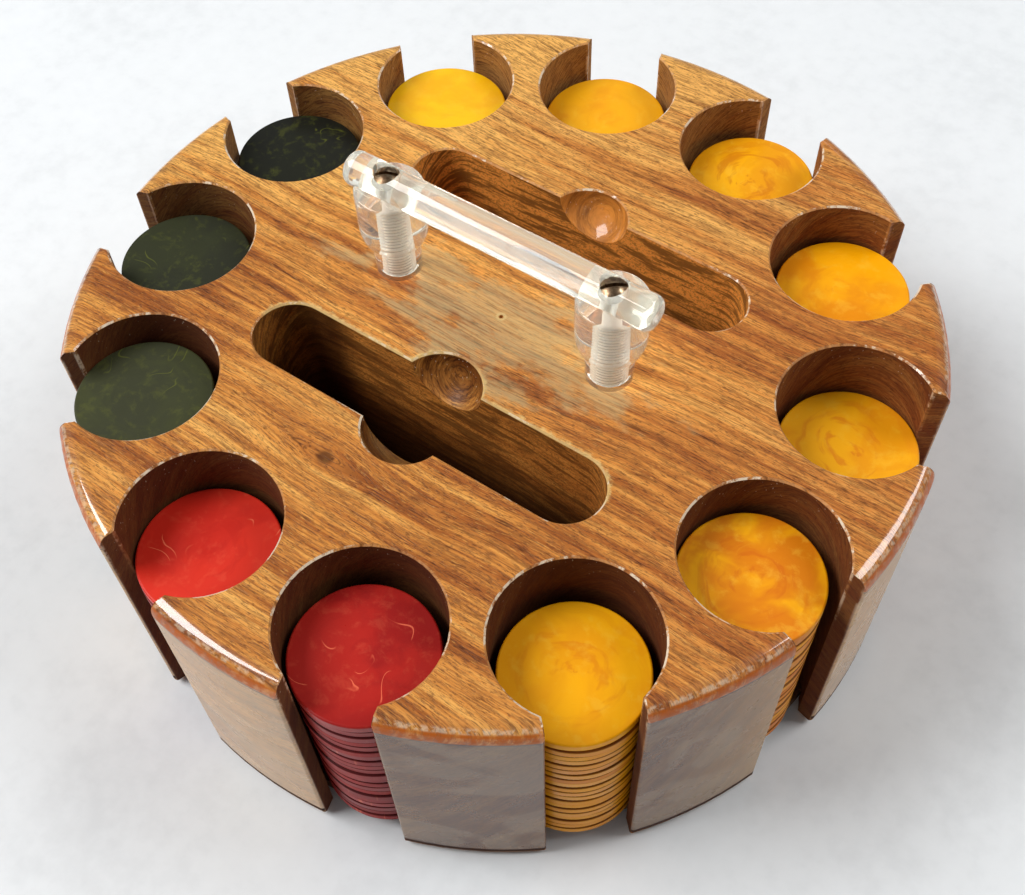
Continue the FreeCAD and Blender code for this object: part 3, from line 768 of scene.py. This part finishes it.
def cut(piece, cutter):
    """Takes the cutter away from the piece and removes it."""
    step = piece.modifiers.new("cut", "BOOLEAN")
    step.object = cutter
    step.solver = "EXACT"
    bpy.context.view_layer.update()
    evaluated = piece.evaluated_get(bpy.context.evaluated_depsgraph_get())
    data = bpy.data.meshes.new_from_object(evaluated)
    piece.modifiers.clear()
    piece.data = data
    bpy.data.objects.remove(cutter)


def smooth(piece, sharp_angle):
    """Smooth shading, broken at edges sharper than an angle in degrees."""
    for face in piece.data.polygons:
        face.use_smooth = True
    piece.data.set_sharp_from_angle(angle=math.radians(sharp_angle))


def helix(radius, depth, z):
    """The radius at each angle of a thread of rounded ridges, at one height."""
    def reach(turn):
        return radius + depth * (0.5 - 0.5 * math.cos(2 * math.pi * z / THREAD_PITCH - turn))
    return reach


def arc_points(centre_r, centre_z, radius, start, end, count):
    """Points of a profile's arc as height and radius, between two angles in degrees."""
    points = []
    for index in range(count + 1):
        turn = math.radians(start + (end - start) * index / count)
        points.append((centre_z + radius * math.sin(turn), centre_r + radius * math.cos(turn)))
    return points


def flare(count):
    """The post's shoulder, from its foot out to its barrel, steep at first and then easing in."""
    points = []
    for index in range(1, count):
        turn = math.pi / 2 * index / count
        share_up = 1 - math.cos(turn)
        share_out = math.sin(turn)
        points.append((POST_FOOT_HEIGHT + (POST_BARREL_START - POST_FOOT_HEIGHT) * share_up,
                       POST_FOOT_RADIUS + (POST_BARREL_RADIUS - POST_FOOT_RADIUS) * share_out))
    return points


def threaded_post(side, sign, material):
    """A clear post with a tapped hole down it and a saddle for the rod."""
    outside = arc_points(POST_FOOT_RADIUS - POST_FOOT_EDGE, POST_FOOT_EDGE, POST_FOOT_EDGE, -90, 0, 4)
    outside.append((POST_FOOT_HEIGHT / 2, POST_FOOT_RADIUS))
    outside.append((POST_FOOT_HEIGHT, POST_FOOT_RADIUS))
    outside.extend(flare(FLARE_STEPS))
    outside.append((POST_BARREL_START, POST_BARREL_RADIUS))
    outside.extend(arc_points(POST_BARREL_RADIUS - POST_EDGE, POST_HEIGHT - POST_EDGE, POST_EDGE, 0, 90, 5))
    steps = int(POST_HEIGHT / (THREAD_PITCH / THREAD_STEPS))
    heights = [POST_HEIGHT * (steps - index) / steps for index in range(steps + 1)]
    inside = [(z, helix(BORE_RADIUS, THREAD_DEPTH, z)) for z in heights]
    post = ring_mesh(f"threaded_post_{side}", outside + inside, POST_SEGMENTS, True)
    saddle = ring_mesh("saddle", [(-SADDLE_REACH, SADDLE_RADIUS), (SADDLE_REACH, SADDLE_RADIUS)],
                       SADDLE_SEGMENTS, False)
    saddle.data.transform(Matrix.Translation((0, 0, ROD_HEIGHT)) @ Matrix.Rotation(math.pi / 2, 4, "Y"))
    cut(post, saddle)
    post.data.transform(Matrix.Translation((sign * POST_X, 0, DRUM_TOP)))
    smooth(post, POST_SHARP)
    post.data.materials.clear()
    post.data.materials.append(material)
    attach(post, "case")
    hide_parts(f"handle_post_{side}")


def threaded_screw(side, sign, material):
    """A long handle screw: point, thread, plain shank and a domed head with a driver slot."""
    shank_end = ROD_HEIGHT - SADDLE_RADIUS
    wall_top = SCREW_SEAT + SCREW_HEAD_WALL
    rings = [(-SCREW_DEPTH, SCREW_TIP_RADIUS)]
    steps = int((shank_end + SCREW_DEPTH - SCREW_POINT) / (THREAD_PITCH / THREAD_STEPS))
    start = SCREW_POINT - SCREW_DEPTH
    for index in range(steps + 1):
        z = start + (shank_end - start) * index / steps
        fade = min(1.0, (shank_end - z) / THREAD_PITCH, (z - start) / THREAD_PITCH + 0.05)
        depth = (SCREW_CREST - SCREW_SHANK) * fade
        rings.append((z, helix(SCREW_SHANK, depth, z)))
    rings.append((shank_end + 0.2 * MM, SCREW_SHANK))
    rings.append((SCREW_SEAT, SCREW_SHANK))
    rings.append((SCREW_SEAT, SCREW_HEAD - SCREW_HEAD_EDGE))
    rings.append((SCREW_SEAT + SCREW_HEAD_EDGE, SCREW_HEAD))
    rings.append((wall_top, SCREW_HEAD))
    dome = (SCREW_HEAD ** 2 + SCREW_HEAD_DOME ** 2) / (2 * SCREW_HEAD_DOME)
    for index in range(1, DOME_STEPS):
        reach = SCREW_HEAD * (1 - index / DOME_STEPS)
        rings.append((wall_top + SCREW_HEAD_DOME - dome + math.sqrt(dome ** 2 - reach ** 2), reach))
    screw = ring_mesh(f"slotted_screw_{side}", rings, SCREW_SEGMENTS, False)
    slot = bmesh.new()
    bmesh.ops.create_cube(slot, size=1.0)
    data = bpy.data.meshes.new("driver_slot")
    slot.to_mesh(data)
    slot.free()
    turn = Matrix.Rotation(math.radians(SCREW_SLOT_TURN[side]), 4, "Z")
    data.transform(Matrix.Translation((0, 0, wall_top + SCREW_HEAD_DOME)) @ turn @ Matrix.Diagonal(
        (4 * SCREW_HEAD, SCREW_SLOT_WIDTH, 2 * SCREW_SLOT_DEPTH, 1)))
    cutter = bpy.data.objects.new("driver_slot", data)
    bpy.context.scene.collection.objects.link(cutter)
    cut(screw, cutter)
    screw.data.transform(Matrix.Translation((sign * POST_X, 0, DRUM_TOP)))
    smooth(screw, SCREW_SHARP)
    screw.data.materials.clear()
    screw.data.materials.append(material)
    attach(screw, "case")
    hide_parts(f"handle_screw_{side}")


# ---------------------------------------------------------------- stage

def add_camera():
    """The photograph's view: an orbit round a point on the drum's top, with a slight roll."""
    azimuth = math.radians(CAMERA_AZIMUTH)
    elevation = math.radians(CAMERA_ELEVATION)
    back = Vector((math.sin(azimuth) * math.cos(elevation),
                   -math.cos(azimuth) * math.cos(elevation), math.sin(elevation)))
    across = Vector((0, 0, 1)).cross(back).normalized()
    upward = back.cross(across)
    roll = math.radians(CAMERA_ROLL)
    right = across * math.cos(roll) + upward * math.sin(roll)
    top = upward * math.cos(roll) - across * math.sin(roll)
    camera = bpy.data.objects.new("camera", bpy.data.cameras.new("camera"))
    camera.matrix_world = Matrix.Translation(CAMERA_TARGET + back * CAMERA_DISTANCE) @ Matrix(
        (right, top, back)).transposed().to_4x4()
    camera.data.lens = CAMERA_LENS
    camera.data.sensor_width = SENSOR_WIDTH
    camera.data.clip_start = 0.01
    bpy.context.scene.collection.objects.link(camera)
    bpy.context.scene.camera = camera


def add_softbox(name, angle, elevation, width, height, power):
    """A soft light that faces the middle of the case, from an angle round the drum's axis."""
    turn, rise = math.radians(angle), math.radians(elevation)
    away = Vector((math.cos(turn) * math.cos(rise), math.sin(turn) * math.cos(rise), math.sin(rise)))
    light = bpy.data.lights.new(name, "AREA")
    light.shape = "RECTANGLE"
    light.size = width
    light.size_y = height
    light.energy = power
    lamp = bpy.data.objects.new(name, light)
    lamp.location = away * LIGHT_DISTANCE
    lamp.rotation_mode = "QUATERNION"
    lamp.rotation_quaternion = away.to_track_quat("Z", "Y")
    bpy.context.scene.collection.objects.link(lamp)


def add_floor():
    """The surface that the case stands on."""
    floor = bmesh.new()
    bmesh.ops.create_grid(floor, x_segments=1, y_segments=1, size=FLOOR_REACH)
    data = bpy.data.meshes.new("floor")
    floor.to_mesh(data)
    floor.free()
    piece = bpy.data.objects.new("floor", data)
    bpy.context.scene.collection.objects.link(piece)
    data.materials.append(paper())


def add_room():
    """Even pale light from all round."""
    world = bpy.data.worlds.new("room")
    world.use_nodes = True
    sky = world.node_tree.nodes["Background"]
    sky.inputs["Color"].default_value = ROOM_COLOUR
    sky.inputs["Strength"].default_value = ROOM_STRENGTH
    bpy.context.scene.world = world


def dress(node, material):
    """Gives a CAD node one material in place of its plain one."""
    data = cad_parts[node].data
    data.materials.clear()
    data.materials.append(material)


def main():
    clear = acrylic()
    metal = bronze()
    dress("drum", walnut())
    dress("base_plate", hardboard())
    dress("base_felt", felt())
    dress("base_screws", brass())
    dress("handle_rod", clear)
    for well in CHIPS:
        family, number = well.split("_")
        material = resin(well)
        dress(f"{family}_stack_{number}", material)
        dress(f"{family}_top_chip_{number}", material)
    for side, sign in (("left", -1), ("right", 1)):
        threaded_post(side, sign, clear)
        threaded_screw(side, sign, metal)
    add_camera()
    add_floor()
    add_room()
    for name, settings in SOFTBOXES.items():
        add_softbox(name, *settings)
    scene = bpy.context.scene
    scene.view_settings.view_transform = "Standard"
    scene.cycles.max_bounces = 32
    scene.cycles.glossy_bounces = 24
    scene.cycles.transmission_bounces = 32


main()
